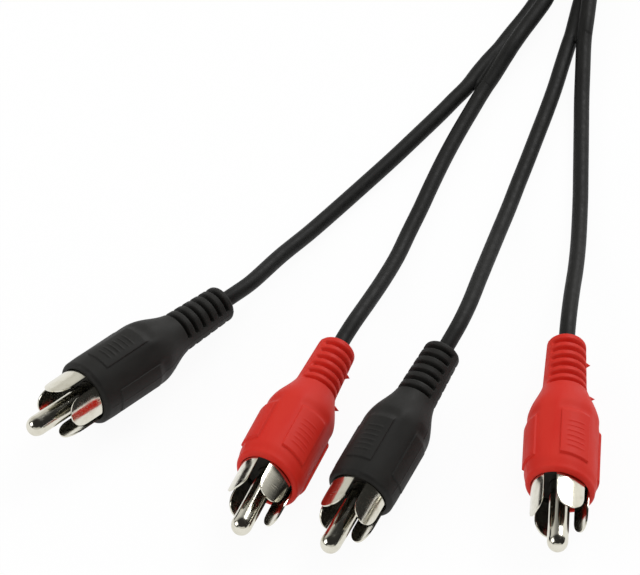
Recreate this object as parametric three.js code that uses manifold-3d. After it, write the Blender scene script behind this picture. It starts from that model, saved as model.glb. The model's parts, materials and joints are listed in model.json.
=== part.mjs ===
// Stereo audio lead: a figure-8 cord that splits into two single leads at each end, with four
// moulded phono plugs, two with black housings and two with red ones.
// Millimetres, +Z up. The lead lies on a table at z = 0, and the origin is on the table under the
// middle of the four plugs. Most of the cord is wound in a round coil behind them.
//
// Each plug is built in its own frame: the origin is on the plug's axis in the plane of the
// housing's front rim, +X points out through the centre pin, and +Z is the middle of one of the
// four raised panels of the housing.

import * as THREE from "three";
import { mergeVertices } from "three/addons/utils/BufferGeometryUtils.js";
import Module from "manifold-3d";

const wasm = await Module();
wasm.setup();

// Fit
const seatGap = 0.3; // clearance between two pieces that touch
const cutMargin = 1; // how far a cutting shape reaches past what it cuts

// Facets of the round pieces
const housingFacets = 24;
const sleeveFacets = 24;
const bushFacets = 16;
const pinFacets = 12;
const mouldFacets = 12;
const wireFacets = 8;
const coilFacets = 40;
const sectorArcSteps = 8; // corners of each rounded edge that is extruded or swept
const grooveArcSteps = 5;
const petalArcSteps = 6;
const pinNoseAngles = [90, 62, 38, 18, 0]; // degrees
const reliefEndAngles = [0, 45, 90]; // degrees
const pigtailSteps = 8; // rings along each swept piece
const leadSteps = 12;
const twinSteps = 14;

// Cord
const leadDiameter = 2.5; // one of the two round leads that make the figure-8 cord
const leadSpacing = 2.8; // between the middles of the two leads where a thin web joins them
const cordLength = 1500; // from strain relief to strain relief

// Centre pin
const pinDiameter = 3.2;
const pinReach = 11.1; // from the rim plane to the tip
const pinNoseLength = 1.7; // rounded nose
const pinTail = 1.3; // from the back of the bush to the end of the solder cup
const solderCupDiameter = 1.2;
const solderCupDepth = 2.4;

// Ground sleeve, rolled from sheet and slotted into four petals
const sleeveBore = 8.1;
const sleeveSheet = 0.35;
const petalReach = 5.85; // from the rim plane to the petal tips
const petalWidth = 4.6;
const petalTipLength = 2.75; // length of the rounded end of a petal
const slotDepth = 1.4; // slots reach this far behind the rim plane
const sleeveBandLength = 4.8; // unslotted band behind the slots
const lugLength = 3.6; // solder lug behind the band
const lugWidth = 2.4;

// Insulating bush that holds the pin in the sleeve
const bushSetback = 1.2; // its face lies this far behind the rim plane
const bushLength = 6.3;
const bushChamfer = 0.3;

// Housing with its strain relief, one moulding
const plugLength = 29.4; // from the rim to the end of the strain relief
const rimDiameter = 10.5;
const rimRound = 0.3;
const noseLength = 2.4; // from the rim to full body diameter
const shoulderLength = 7.8;
const shoulderSteps = 5;
const reliefRootDiameter = 6.4;
const reliefEndDiameter = 5.7;
const reliefEndRound = 0.6;

// The two colours come from different moulds: length from the rim to the start of the shoulder,
// rise of the panels, and how far the rim is cut askew from one side to the other
const moulds = {
  black: { bodyDiameter: 10.8, bodyLength: 12.1, panelRise: 0.25, rimSlant: 0 },
  red: { bodyDiameter: 11, bodyLength: 12.8, panelRise: 0.35, rimSlant: 1.6 },
};
const slantAngle = 69.5; // degrees from +Z towards +Y, where a slanted rim reaches furthest forward

// Four raised panels on the housing
const panelCount = 4;
const panelSpan = 47; // degrees
const panelSetback = 3.05; // from the rim to the panel's front edge
const panelLength = 7.9;
const panelFade = 1.9; // length over which the panel dips into the shoulder

// Grooves of the strain relief, cut from two sides so that two spines stay
const grooveCount = 6;
const grooveWidth = 0.6;
const groovePitch = 1.62;
const grooveDepth = 0.75;
const grooveSpan = 140; // degrees
const lastGrooveSetback = 1.85; // from the end of the relief to the middle of the last groove

// Inner mould round the soldered ends
const mouldBodyLength = 5.4;
const mouldTaperLength = 4.5;
const mouldEndWall = 1.05; // wall round the cable at its back end
const chamberDiameter = 5.4; // space in which the shield leaves the core
const chamberLength = 3.3;
const chamberSetback = 4; // from the mould's front face to the chamber

// Cable end inside the plug
const jacketInChamber = 0.3;
const coreDiameter = 1.4;
const conductorDiameter = 0.6;
const conductorInCup = 2;
const pigtailDiameter = 0.8;
const pigtailOnLug = 1.7; // length soldered along the lug

// Coil of the spare length
const coilCentre = new THREE.Vector2(28, 143);
const turnsPerLayer = 3.85;
const layerCount = 2;
const turnSlack = 0.1; // room between neighbouring turns
const coilEdge = 0.8; // chamfer of the coil's outline

// Tie round the coil
const tieThickness = 0.5;
const tieWidth = 4;
const tieAngle = 100; // degrees round the coil from +X

// Where each plug lies: middle of its rim, the direction its pin points to in plan, how far its
// nose dips, and how far its +Z panel is rolled from the top towards the pin's left. The contacts
// are turned about the axis against the housing.
const plugs = [
  {
    name: "black_a",
    colour: "black",
    rim: [-34.73, 3.08, 6.84],
    heading: -135.3,
    dip: -4.3,
    roll: -4,
    contactTurn: -21.5,
  },
  {
    name: "red_a",
    colour: "red",
    rim: [-7.17, -13.15, 6.21],
    heading: -111.7,
    dip: -2.6,
    roll: 36.3,
    contactTurn: 3.5,
  },
  {
    name: "black_b",
    colour: "black",
    rim: [6.68, -15.5, 5.69],
    heading: -116.2,
    dip: 4.6,
    roll: -17.3,
    contactTurn: -21.5,
  },
  {
    name: "red_b",
    colour: "red",
    rim: [36.51, -15.04, 5.91],
    heading: -93.6,
    dip: 0,
    roll: 20.6,
    contactTurn: 3.5,
  },
];

// Routes along the table, each point chosen by hand
const leadRoutes = {
  black_a: [
    [-9.9, 28, 3.95], [-5.2, 34.8, 2.7], [-0.7, 40.6, 1.7], [3.6, 46, 1.3], [7.9, 51.2, 1.25],
    [12.1, 56.3, 1.25], [16.2, 61.5, 1.25], [20, 66.4, 1.25], [22.2, 69.4, 1.25], [24.15, 71.94, 1.25],
  ],
  red_a: [
    [6, 19.4, 4.6], [8.2, 24.3, 3.7], [10.6, 29.9, 2.6], [12.8, 35.5, 1.7], [14.7, 41, 1.3],
    [16.6, 46.1, 1.25], [18.4, 51.2, 1.25], [20.3, 56.3, 1.25], [22.4, 61.4, 1.3], [24.7, 66.5, 1.4],
    [26.55, 70.54, 1.55],
  ],
  black_b: [
    [22, 15.9, 8.25], [23.6, 20.6, 7.6], [25.2, 26.7, 6.2], [26.9, 33.3, 4.4], [28.6, 39.7, 2.8],
    [30.3, 45.7, 1.7], [31.9, 51.2, 1.3], [33.5, 56.3, 1.25], [35.1, 61.5, 1.25], [36.7, 66.7, 1.25],
    [38.2, 71.9, 1.25], [39.5, 77, 1.25], [40.66, 81.3, 1.25],
  ],
  red_b: [
    [38.9, 20.4, 5.7], [39.5, 25.5, 4.8], [40.3, 31.6, 3.5], [40.9, 37.7, 2.2], [41.3, 43.4, 1.5],
    [41.6, 48.7, 1.25], [41.8, 53.8, 1.25], [42, 58.9, 1.25], [42.2, 64.1, 1.25], [42.4, 69.3, 1.4],
    [42.7, 74.8, 2], [43.04, 80.9, 2.65],
  ],
};
const twinRoutes = {
  a: [
    [25.5, 71.5, 1.8], [27.1, 74.3, 1.8], [28.5, 76.7, 1.8], [30.5, 79.9, 2.1], [32.5, 83.4, 2.2],
    [34.6, 86.9, 2.25], [36.5, 90.5, 2.25], [37.7, 94.4, 2.35], [37.5, 98.8, 2.4], [35.4, 102.9, 2.45],
    [31.6, 106.3, 2.55], [26.6, 108.4, 2.65],
  ],
  b: [
    [41.9, 81.4, 1.95], [42.4, 83.9, 2.2], [42.9, 86.8, 2.3], [43.5, 90.3, 2.4], [44.6, 95, 2.5],
    [46, 100, 2.55], [47.6, 105, 2.7], [49.3, 110, 3.2], [51, 115, 4.3], [52, 118, 5.1],
  ],
};

// Sizes that follow from the ones above
const leadRadius = leadDiameter / 2;
const sleeveInner = sleeveBore / 2;
const sleeveOuter = sleeveInner + sleeveSheet;
const sleeveBack = -(slotDepth + sleeveBandLength);
const lugBack = sleeveBack - lugLength;
const housingBore = sleeveOuter + seatGap;
const pinRadius = pinDiameter / 2;
const pinBore = pinRadius + seatGap;
const bushFront = -bushSetback;
const bushBack = bushFront - bushLength;
const pinBack = bushBack - pinTail;
const plugBack = -plugLength;
const cableBore = leadRadius + seatGap;
const mouldRadius = sleeveInner - seatGap;
const mouldFront = bushBack - seatGap;
const mouldTaper = mouldFront - mouldBodyLength;
const mouldBack = mouldTaper - mouldTaperLength;
const mouldBackRadius = cableBore + mouldEndWall;
const chamberRadius = chamberDiameter / 2;
const chamberFront = mouldFront - chamberSetback;
const chamberBack = chamberFront - chamberLength;
const coreBore = coreDiameter / 2 + seatGap;
const jacketFront = chamberBack + jacketInChamber;
const conductorFront = pinBack + conductorInCup;
const pigtailRadius = pigtailDiameter / 2;
const pigtailSeat = sleeveInner - seatGap - pigtailRadius;
const pigtailSlotBack = chamberFront - 2 * pigtailDiameter;
const turnPitch = leadDiameter + turnSlack;
const layerPitch = leadSpacing + leadDiameter + turnSlack;
const coilBottom = tieThickness + seatGap;

const deg = THREE.MathUtils.degToRad;
const point = (x, y) => new THREE.Vector2(x, y);

// Solids

// A closed geometry as a solid that can be joined and cut
function toSolid(geometry) {
  const bare = geometry.clone();
  for (const name of Object.keys(bare.attributes)) {
    if (name !== "position") bare.deleteAttribute(name);
  }
  const merged = mergeVertices(bare, 1e-4);
  return new wasm.Manifold(
    new wasm.Mesh({
      numProp: 3,
      vertProperties: merged.attributes.position.array,
      triVerts: new Uint32Array(merged.index.array),
    }),
  );
}

function toGeometry(solid) {
  const mesh = solid.getMesh();
  const geometry = new THREE.BufferGeometry();
  geometry.setAttribute("position", new THREE.BufferAttribute(mesh.vertProperties, 3));
  geometry.setIndex(new THREE.BufferAttribute(mesh.triVerts, 1));
  const faceted = geometry.toNonIndexed();
  faceted.computeVertexNormals();
  return faceted;
}

// Revolves a profile of [x along the axis, radius] points about the X axis. A profile that
// doesn't start and end on the axis is closed on itself.
function turned(profile, facets) {
  const points = profile.map(([along, radius]) => point(radius, along));
  if (!THREE.ShapeUtils.isClockWise(points)) points.reverse();
  points.reverse();
  if (points[0].x > 0 || points.at(-1).x > 0) points.push(points[0].clone());
  return new THREE.LatheGeometry(points, facets).rotateZ(-Math.PI / 2);
}

// Extrudes a shape drawn in the plug's YZ plane along X, from back to front
function extrudedAlongX(shape, back, front, curveSegments) {
  const geometry = new THREE.ExtrudeGeometry(shape, {
    depth: front - back,
    bevelEnabled: false,
    curveSegments,
  });
  const axes = new THREE.Matrix4().makeBasis(
    new THREE.Vector3(0, 1, 0),
    new THREE.Vector3(0, 0, 1),
    new THREE.Vector3(1, 0, 0),
  );
  return geometry.applyMatrix4(axes).translate(back, 0, 0);
}

// Box between two corners
function block(low, high) {
  const size = high.map((value, i) => value - low[i]);
  const middle = high.map((value, i) => (value + low[i]) / 2);
  return new THREE.BoxGeometry(...size).translate(...middle);
}

// Round section with flat sides, swept along a smooth curve
function tube(points, radius, sides, steps) {
  const section = new THREE.Shape();
  for (let i = 0; i < sides; i++) {
    const angle = (2 * Math.PI * i) / sides;
    const corner = point(radius * Math.cos(angle), radius * Math.sin(angle));
    if (i === 0) section.moveTo(corner.x, corner.y);
    else section.lineTo(corner.x, corner.y);
  }
  const path = new THREE.CatmullRomCurve3(points, false, "centripetal");
  return new THREE.ExtrudeGeometry(section, { steps, extrudePath: path, bevelEnabled: false });
}

const smooth = (t) => t * t * (3 - 2 * t);

// Housing

// Sector of a disc about the plug's axis, its middle at an angle from +Y
function sector(inner, outer, middle, span) {
  const from = deg(middle - span / 2);
  const to = deg(middle + span / 2);
  const shape = new THREE.Shape();
  shape.absarc(0, 0, outer, from, to, false);
  if (inner > 0) shape.absarc(0, 0, inner, to, from, true);
  else shape.lineTo(0, 0);
  return shape;
}

function housingOutline({ bodyDiameter, bodyLength }) {
  const rim = rimDiameter / 2;
  const bodyRadius = bodyDiameter / 2;
  const root = reliefRootDiameter / 2;
  const end = reliefEndDiameter / 2;
  const outline = [
    [0, rim - rimRound],
    [-rimRound, rim],
    [-noseLength, bodyRadius],
  ];
  for (let i = 0; i <= shoulderSteps; i++) {
    const t = i / shoulderSteps;
    outline.push([-bodyLength - t * shoulderLength, THREE.MathUtils.lerp(bodyRadius, root, smooth(t))]);
  }
  for (const angle of reliefEndAngles) {
    outline.push([
      plugBack + reliefEndRound * (1 - Math.sin(deg(angle))),
      end - reliefEndRound * (1 - Math.cos(deg(angle))),
    ]);
  }
  return outline;
}

// Inside of the housing from its back end to its front: cable bore, taper round the inner mould,
// and the bore that holds the sleeve
function housingCavity() {
  const mouldBore = mouldRadius + seatGap;
  return [
    [plugBack, cableBore],
    [mouldBack - seatGap, cableBore],
    [mouldBack - seatGap, mouldBackRadius + seatGap],
    [mouldTaper - seatGap, mouldBore],
    [lugBack - seatGap, mouldBore],
    [lugBack - seatGap, housingBore],
    [0, housingBore],
  ];
}

// Ring whose four sectors are the raised panels. It starts inside the wall and dips into the
// shoulder at its back.
function panelRing({ bodyDiameter, panelRise }) {
  const bodyRadius = bodyDiameter / 2;
  const root = (bodyRadius + housingBore) / 2;
  const front = -panelSetback;
  const back = front - panelLength;
  return turned(
    [
      [front, root],
      [front, bodyRadius + panelRise],
      [back, bodyRadius + panelRise],
      [back - panelFade, root],
    ],
    housingFacets,
  );
}

// Shifts the rim along the axis, more towards one side, and leaves everything behind the nose
function slantRim(solid, slant) {
  const slope = slant / rimDiameter;
  const angle = deg(slantAngle);
  return solid.warp((vertex) => {
    const share = Math.max(0, 1 + vertex[0] / noseLength);
    vertex[0] += share * slope * (vertex[1] * Math.sin(angle) + vertex[2] * Math.cos(angle));
  });
}

function housing(mould) {
  const body = turned([...housingOutline(mould), ...housingCavity()], housingFacets);
  let solid = slantRim(toSolid(body), mould.rimSlant);
  const ring = toSolid(panelRing(mould));
  const reach = mould.bodyDiameter / 2 + mould.panelRise + cutMargin;
  for (let i = 0; i < panelCount; i++) {
    const span = sector(0, reach, (360 * i) / panelCount, panelSpan);
    solid = solid.add(ring.intersect(toSolid(extrudedAlongX(span, plugBack, 0, sectorArcSteps))));
  }
  const reliefLength = plugLength - mould.bodyLength - shoulderLength;
  for (let i = 0; i < grooveCount; i++) {
    const middle = plugBack + lastGrooveSetback + i * groovePitch;
    const along = (middle - plugBack) / reliefLength;
    const skin = THREE.MathUtils.lerp(reliefEndDiameter, reliefRootDiameter, along) / 2;
    for (const side of [90, 270]) {
      const groove = sector(skin - grooveDepth, skin + cutMargin, side, grooveSpan);
      const back = middle - grooveWidth / 2;
      const cutter = extrudedAlongX(groove, back, back + grooveWidth, grooveArcSteps);
      solid = solid.subtract(toSolid(cutter));
    }
  }
  return toGeometry(solid);
}

// Ground sleeve

// Outline of two opposite petals, seen along the line that joins them: X along the plug
function petalShape() {
  const half = petalWidth / 2;
  const shape = new THREE.Shape();
  const tipStart = petalReach - petalTipLength;
  shape.moveTo(-slotDepth - cutMargin, -half);
  shape.lineTo(tipStart, -half);
  shape.absellipse(tipStart, 0, petalTipLength, half, -Math.PI / 2, Math.PI / 2, false);
  shape.lineTo(-slotDepth - cutMargin, half);
  shape.closePath();
  return shape;
}

function groundSleeve() {
  const reach = sleeveOuter + cutMargin;
  const blank = turned(
    [
      [lugBack, sleeveInner],
      [lugBack, sleeveOuter],
      [petalReach, sleeveOuter],
      [petalReach, sleeveInner],
    ],
    sleeveFacets,
  );
  const band = block([sleeveBack, -reach, -reach], [-slotDepth, reach, reach]);
  const lug = block([lugBack, -lugWidth / 2, -reach], [sleeveBack + cutMargin, lugWidth / 2, 0]);
  const petals = new THREE.ExtrudeGeometry(petalShape(), {
    depth: 2 * reach,
    bevelEnabled: false,
    curveSegments: petalArcSteps,
  }).translate(0, 0, -reach);
  const crossPetals = petals.clone().rotateX(Math.PI / 2);
  const keep = toSolid(band).add(toSolid(lug)).add(toSolid(petals)).add(toSolid(crossPetals));
  return toGeometry(toSolid(blank).intersect(keep));
}

// Bush and pin

function insulatorBush() {
  const outer = sleeveInner - seatGap;
  return turned(
    [
      [bushBack, pinBore],
      [bushBack, outer],
      [bushFront - bushChamfer, outer],
      [bushFront, outer - bushChamfer],
      [bushFront, pinBore],
    ],
    bushFacets,
  );
}

function centrePin() {
  const profile = [];
  for (const angle of pinNoseAngles) {
    profile.push([
      pinReach - pinNoseLength * (1 - Math.sin(deg(angle))),
      pinRadius * Math.cos(deg(angle)),
    ]);
  }
  profile[0][1] = 0;
  profile.push([pinBack, pinRadius]);
  profile.push([pinBack, solderCupDiameter / 2]);
  profile.push([pinBack + solderCupDepth, solderCupDiameter / 2]);
  profile.push([pinBack + solderCupDepth, 0]);
  return turned(profile, pinFacets);
}

// Pieces sealed in the housing

function innerMould() {
  const body = turned(
    [
      [mouldFront, pinBore],
      [mouldFront, mouldRadius],
      [mouldTaper, mouldRadius],
      [mouldBack, mouldBackRadius],
      [mouldBack, cableBore],
      [chamberBack, cableBore],
      [chamberBack, chamberRadius],
      [chamberFront, chamberRadius],
      [chamberFront, coreBore],
      [pinBack - seatGap, coreBore],
      [pinBack - seatGap, pinBore],
    ],
    mouldFacets,
  );
  const slotHalf = pigtailRadius + seatGap;
  const slot = block(
    [pigtailSlotBack, -slotHalf, -sleeveOuter],
    [mouldFront + cutMargin, slotHalf, -(pigtailSeat - pigtailRadius - seatGap)],
  );
  return toGeometry(toSolid(body).subtract(toSolid(slot)));
}

function wire(back, front, diameter) {
  return turned([[back, 0], [back, diameter / 2], [front, diameter / 2], [front, 0]], wireFacets);
}

function cableEnd() {
  return wire(plugBack, jacketFront, leadDiameter);
}

function coreInsulation() {
  return wire(jacketFront + seatGap, pinBack - 3 * seatGap, coreDiameter);
}

function coreConductor() {
  return wire(pinBack - 2 * seatGap, conductorFront, conductorDiameter);
}

// Shield strands gathered into one tail that runs from the end of the jacket to the lug
function shieldPigtail() {
  const besideCore = coreBore + pigtailRadius;
  const points = [
    [jacketFront + seatGap, besideCore],
    [pigtailSlotBack - pigtailRadius, besideCore],
    [pigtailSlotBack + pigtailRadius, (besideCore + pigtailSeat) / 2],
    [chamberFront - pigtailRadius, pigtailSeat],
    [lugBack - seatGap, pigtailSeat],
    [lugBack + pigtailOnLug, pigtailSeat],
  ];
  const path = points.map(([along, out]) => new THREE.Vector3(along, 0, -out));
  return tube(path, pigtailRadius, wireFacets, pigtailSteps);
}

// Finishes

const finish = (name, color, roughness, metalness) =>
  new THREE.MeshStandardMaterial({ name, color, roughness, metalness });

const finishes = {
  black: finish("black_pvc", 0x1b1c1c, 0.45, 0),
  red: finish("red_pvc", 0xc83a2e, 0.45, 0),
  nickel: finish("nickel_plate", 0xd6d2c6, 0.18, 1),
  bush: finish("black_bush", 0x121212, 0.5, 0),
  mould: finish("natural_polyethylene", 0xdedcd2, 0.55, 0),
  cord: finish("black_cord", 0x202120, 0.5, 0),
  core: finish("clear_core", 0xe8e4da, 0.5, 0),
  copper: finish("copper", 0xb8693f, 0.35, 1),
  tie: finish("tie", 0x151515, 0.5, 0),
};

function piece(name, geometry, material) {
  const mesh = new THREE.Mesh(geometry, material);
  mesh.name = name;
  return mesh;
}

// Plugs

function plug({ name, colour, rim, heading, dip, roll, contactTurn }) {
  const contacts = new THREE.Group();
  contacts.rotation.x = deg(-contactTurn);
  contacts.add(
    piece(`${name}_ground_sleeve`, groundSleeve(), finishes.nickel),
    piece(`${name}_insulator`, insulatorBush(), finishes.bush),
    piece(`${name}_centre_pin`, centrePin(), finishes.nickel),
    piece(`${name}_inner_mould`, innerMould(), finishes.mould),
    piece(`${name}_core_insulation`, coreInsulation(), finishes.core),
    piece(`${name}_core_conductor`, coreConductor(), finishes.copper),
    piece(`${name}_shield_pigtail`, shieldPigtail(), finishes.copper),
  );
  const group = new THREE.Group();
  group.add(
    piece(`${name}_housing`, housing(moulds[colour]), finishes[colour]),
    piece(`${name}_cable_end`, cableEnd(), finishes.cord),
    contacts,
  );
  group.rotation.set(deg(-roll), deg(dip), deg(heading), "ZYX");
  group.position.set(...rim);
  group.updateMatrix();
  return group;
}

// Cord

const vectors = (points) => points.map((p) => new THREE.Vector3(...p));

// Tube from the end of a plug's strain relief along its route
function lead(plugGroup, route) {
  const out = (distance) =>
    new THREE.Vector3(plugBack - distance, 0, 0).applyMatrix4(plugGroup.matrix);
  const start = [out(seatGap), out(seatGap + leadDiameter)];
  return tube([...start, ...vectors(route)], leadRadius, wireFacets, leadSteps);
}

const routeLength = (points) => new THREE.CatmullRomCurve3(points).getLength();

// The figure-8 cord's solid is round, with the area of its two leads together
const twinRadius = leadRadius * Math.SQRT2;

// Ring that holds all turns of the coil, its radius from the length that the runs leave over
function coil(length) {
  const middle = length / (2 * Math.PI * turnsPerLayer * layerCount);
  const halfWidth = (turnsPerLayer * turnPitch + leadDiameter) / 2;
  const height = layerPitch * layerCount - turnSlack;
  const inner = middle - halfWidth;
  const outer = middle + halfWidth;
  const ring = turned(
    [
      [0, inner + coilEdge],
      [0, outer - coilEdge],
      [coilEdge, outer],
      [height - coilEdge, outer],
      [height, outer - coilEdge],
      [height, inner + coilEdge],
      [height - coilEdge, inner],
      [coilEdge, inner],
    ],
    coilFacets,
  );
  ring.rotateY(-Math.PI / 2);
  return { ring, middle, halfWidth, height };
}

// Closed band round the coil's section
function tie({ halfWidth, height, middle }) {
  const gap = seatGap;
  const frame = (grow) => {
    const half = halfWidth + grow;
    const shape = new THREE.Shape();
    shape.moveTo(-half, -grow + coilEdge);
    shape.lineTo(-half + coilEdge, -grow);
    shape.lineTo(half - coilEdge, -grow);
    shape.lineTo(half, -grow + coilEdge);
    shape.lineTo(half, height + grow - coilEdge);
    shape.lineTo(half - coilEdge, height + grow);
    shape.lineTo(-half + coilEdge, height + grow);
    shape.lineTo(-half, height + grow - coilEdge);
    shape.closePath();
    return shape;
  };
  const band = frame(gap + tieThickness);
  band.holes.push(frame(gap));
  const geometry = new THREE.ExtrudeGeometry(band, { depth: tieWidth, bevelEnabled: false });
  geometry.translate(middle, 0, -tieWidth / 2).rotateX(Math.PI / 2);
  return geometry.rotateZ(deg(tieAngle));
}

// The whole lead

const cable = new THREE.Group();
cable.name = "stereo_audio_lead";

let runLength = 0;
for (const placed of plugs) {
  const group = plug(placed);
  const leadPiece = piece(`${placed.name}_lead`, lead(group, leadRoutes[placed.name]), finishes.cord);
  cable.add(group, leadPiece);
  runLength += routeLength(vectors(leadRoutes[placed.name])) / 2;
}
for (const [end, route] of Object.entries(twinRoutes)) {
  const points = vectors(route);
  cable.add(piece(`twin_cord_${end}`, tube(points, twinRadius, wireFacets, twinSteps), finishes.cord));
  runLength += routeLength(points);
}

const wound = coil(cordLength - runLength);
const coilPiece = piece("cord_coil", wound.ring, finishes.cord);
coilPiece.position.set(coilCentre.x, coilCentre.y, coilBottom);
const tiePiece = piece("coil_tie", tie(wound), finishes.tie);
tiePiece.position.copy(coilPiece.position);
cable.add(coilPiece, tiePiece);

export default cable;
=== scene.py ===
import json
import math
import bpy
import bmesh
import numpy as np
from mathutils import Euler, Matrix, Vector


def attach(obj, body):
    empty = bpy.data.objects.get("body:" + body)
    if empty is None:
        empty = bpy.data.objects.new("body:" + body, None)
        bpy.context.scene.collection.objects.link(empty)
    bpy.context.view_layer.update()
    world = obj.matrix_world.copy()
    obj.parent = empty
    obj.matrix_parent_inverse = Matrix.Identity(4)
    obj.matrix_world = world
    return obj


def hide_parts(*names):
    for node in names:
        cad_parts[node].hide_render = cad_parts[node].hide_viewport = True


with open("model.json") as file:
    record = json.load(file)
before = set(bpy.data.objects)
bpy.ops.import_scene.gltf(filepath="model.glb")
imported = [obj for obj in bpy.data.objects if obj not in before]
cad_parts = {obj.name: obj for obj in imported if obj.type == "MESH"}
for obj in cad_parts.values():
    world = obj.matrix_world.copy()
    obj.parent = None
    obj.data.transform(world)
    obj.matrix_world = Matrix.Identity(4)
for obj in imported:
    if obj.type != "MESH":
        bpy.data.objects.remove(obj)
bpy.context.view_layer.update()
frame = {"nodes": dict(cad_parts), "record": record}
nodes = frame["nodes"]
scene = bpy.context.scene
mm = 0.001  # lengths below are in millimetres unless a name says otherwise
print("frame loaded:", len(nodes), "nodes")


# Camera

cameraSettings = {
    "elevation": 48.5,  # degrees above the table
    "target": (0.86, 28.0, 3.0),
    "distance": 900.0,
    "lens": 329.06,
    "sensor": 36.0,
    "clip": (0.01, 20.0),  # metres
}


def makeCamera(s):
    tilt = math.radians(s["elevation"])
    back = Vector((0, -math.cos(tilt), math.sin(tilt))) * s["distance"]
    data = bpy.data.cameras.new("camera")
    data.lens = s["lens"]
    data.sensor_width = s["sensor"]
    data.sensor_fit = "HORIZONTAL"
    data.clip_start, data.clip_end = s["clip"]
    camera = bpy.data.objects.new("camera", data)
    camera.location = (Vector(s["target"]) + back) * mm
    camera.rotation_euler = (math.pi / 2 - tilt, 0, 0)
    scene.collection.objects.link(camera)
    scene.camera = camera


makeCamera(cameraSettings)
print("camera made")


# Shared geometry

def smoothStep(low, high, value):
    t = np.clip((np.asarray(value, float) - low) / (high - low), 0, 1)
    return t * t * (3 - 2 * t)


def unit(v):
    return v / np.linalg.norm(v, axis=-1, keepdims=True)


def addMesh(name, points, faces, uvs=None):
    mesh = bpy.data.meshes.new(name)
    mesh.from_pydata((np.asarray(points, float) * mm).tolist(), [], faces)
    mesh.update()
    if uvs is not None:
        layer = mesh.uv_layers.new(name="along")
        corner = np.empty(len(mesh.loops), int)
        mesh.loops.foreach_get("vertex_index", corner)
        layer.data.foreach_set("uv", np.asarray(uvs, float)[corner].ravel())
    work = bmesh.new()
    work.from_mesh(mesh)
    bmesh.ops.remove_doubles(work, verts=work.verts, dist=1e-7)
    bmesh.ops.recalc_face_normals(work, faces=work.faces)
    work.to_mesh(mesh)
    work.free()
    mesh.polygons.foreach_set("use_smooth", [True] * len(mesh.polygons))
    obj = bpy.data.objects.new(name, mesh)
    scene.collection.objects.link(obj)
    return obj


def gridFaces(rows, columns, closedAround=True, closedAlong=False):
    i, j = np.meshgrid(np.arange(rows if closedAlong else rows - 1),
                       np.arange(columns if closedAround else columns - 1), indexing="ij")
    i2, j2 = (i + 1) % rows, (j + 1) % columns
    quads = np.stack([i * columns + j, i * columns + j2, i2 * columns + j2, i2 * columns + j], -1)
    return quads.reshape(-1, 4).tolist()


def turnedPiece(name, profile, sides, closed=False):  # [x, radius] turned about the plug's axis
    angle = np.arange(sides) * 2 * math.pi / sides
    x, r = np.asarray(profile, float).T[:, :, None]
    grid = np.stack([x + 0 * angle, r * np.sin(angle), r * np.cos(angle)], -1)
    return addMesh(name, grid.reshape(-1, 3), gridFaces(len(grid), sides, True, closed))


def rounded(corners, radius, steps, share=0.45):  # inner corners rounded off, over that share of an edge
    corners = [np.asarray(c, float) for c in corners]
    out = [corners[0]]
    for before, here, after in zip(corners, corners[1:], corners[2:]):
        a, b = before - here, after - here
        reach = min(radius, share * np.linalg.norm(a), share * np.linalg.norm(b))
        start, end = here + unit(a) * reach, here + unit(b) * reach
        for t in np.linspace(0, 1, steps + 1):
            out.append((1 - t) ** 2 * start + 2 * t * (1 - t) * here + t * t * end)
    return out + [corners[-1]]


def joined(parts):  # parts of points and faces, as one
    points, faces, shift = [], [], 0
    for partPoints, partFaces in parts:
        points.append(partPoints)
        faces += [[k + shift for k in face] for face in partFaces]
        shift += len(partPoints)
    return np.vstack(points), faces


def runAlong(line):  # how far each point lies from the first one
    return np.concatenate([[0], np.cumsum(np.linalg.norm(np.diff(line, axis=0), axis=1))])


def smoothRoute(points, values, spacing, samples=24):  # centripetal curve, evenly stepped
    p = np.asarray(points, float)
    ends = [2 * p[0] - p[1], 2 * p[-1] - p[-2]]
    q = np.vstack([ends[0], p, ends[1]])
    v = np.asarray(values, float)
    line, carried = [], []
    for k in range(len(p) - 1):
        a, b, c, d = q[k:k + 4]
        t0 = 0.0
        t1 = t0 + math.sqrt(np.linalg.norm(b - a))
        t2 = t1 + math.sqrt(np.linalg.norm(c - b))
        t3 = t2 + math.sqrt(np.linalg.norm(d - c))
        t = np.linspace(t1, t2, samples, endpoint=False)[:, None]
        ab = (t1 - t) / (t1 - t0) * a + (t - t0) / (t1 - t0) * b
        bc = (t2 - t) / (t2 - t1) * b + (t - t1) / (t2 - t1) * c
        cd = (t3 - t) / (t3 - t2) * c + (t - t2) / (t3 - t2) * d
        abc = (t2 - t) / (t2 - t0) * ab + (t - t0) / (t2 - t0) * bc
        bcd = (t3 - t) / (t3 - t1) * bc + (t - t1) / (t3 - t1) * cd
        line.append((t2 - t) / (t2 - t1) * abc + (t - t1) / (t2 - t1) * bcd)
        carried.append(v[k] + (v[k + 1] - v[k]) * (t[:, 0] - t1) / (t2 - t1))
    line = np.vstack(line + [p[-1:]])
    carried = np.concatenate(carried + [v[-1:]])
    run = runAlong(line)
    count = max(2, round(run[-1] / spacing))
    at = np.linspace(0, run[-1], count + 1)
    path = np.stack([np.interp(at, run, line[:, i]) for i in range(3)], -1)
    return path, np.interp(at, run, carried), run[-1]


def acrossPath(tangent, turn):  # to the right of the path when turn is 0, and up at 90 degrees
    right = unit(np.cross(tangent, (0, 0, 1)))
    angle = np.radians(turn)[:, None]
    return np.cos(angle) * right + np.sin(angle) * np.array((0, 0, 1))


def ringsAlong(path, tangent, across, section):  # the section's first axis lies across the path
    across = unit(across - np.sum(across * tangent, axis=1)[:, None] * tangent)
    lift = np.cross(across, tangent)
    s = np.broadcast_to(section, (len(path),) + np.shape(section)[-2:])
    return path[:, None] + s[..., :1] * across[:, None] + s[..., 1:] * lift[:, None]


def endFaces(rows, columns):
    return [list(range(columns)), [(rows - 1) * columns + k for k in range(columns)]]


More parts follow.
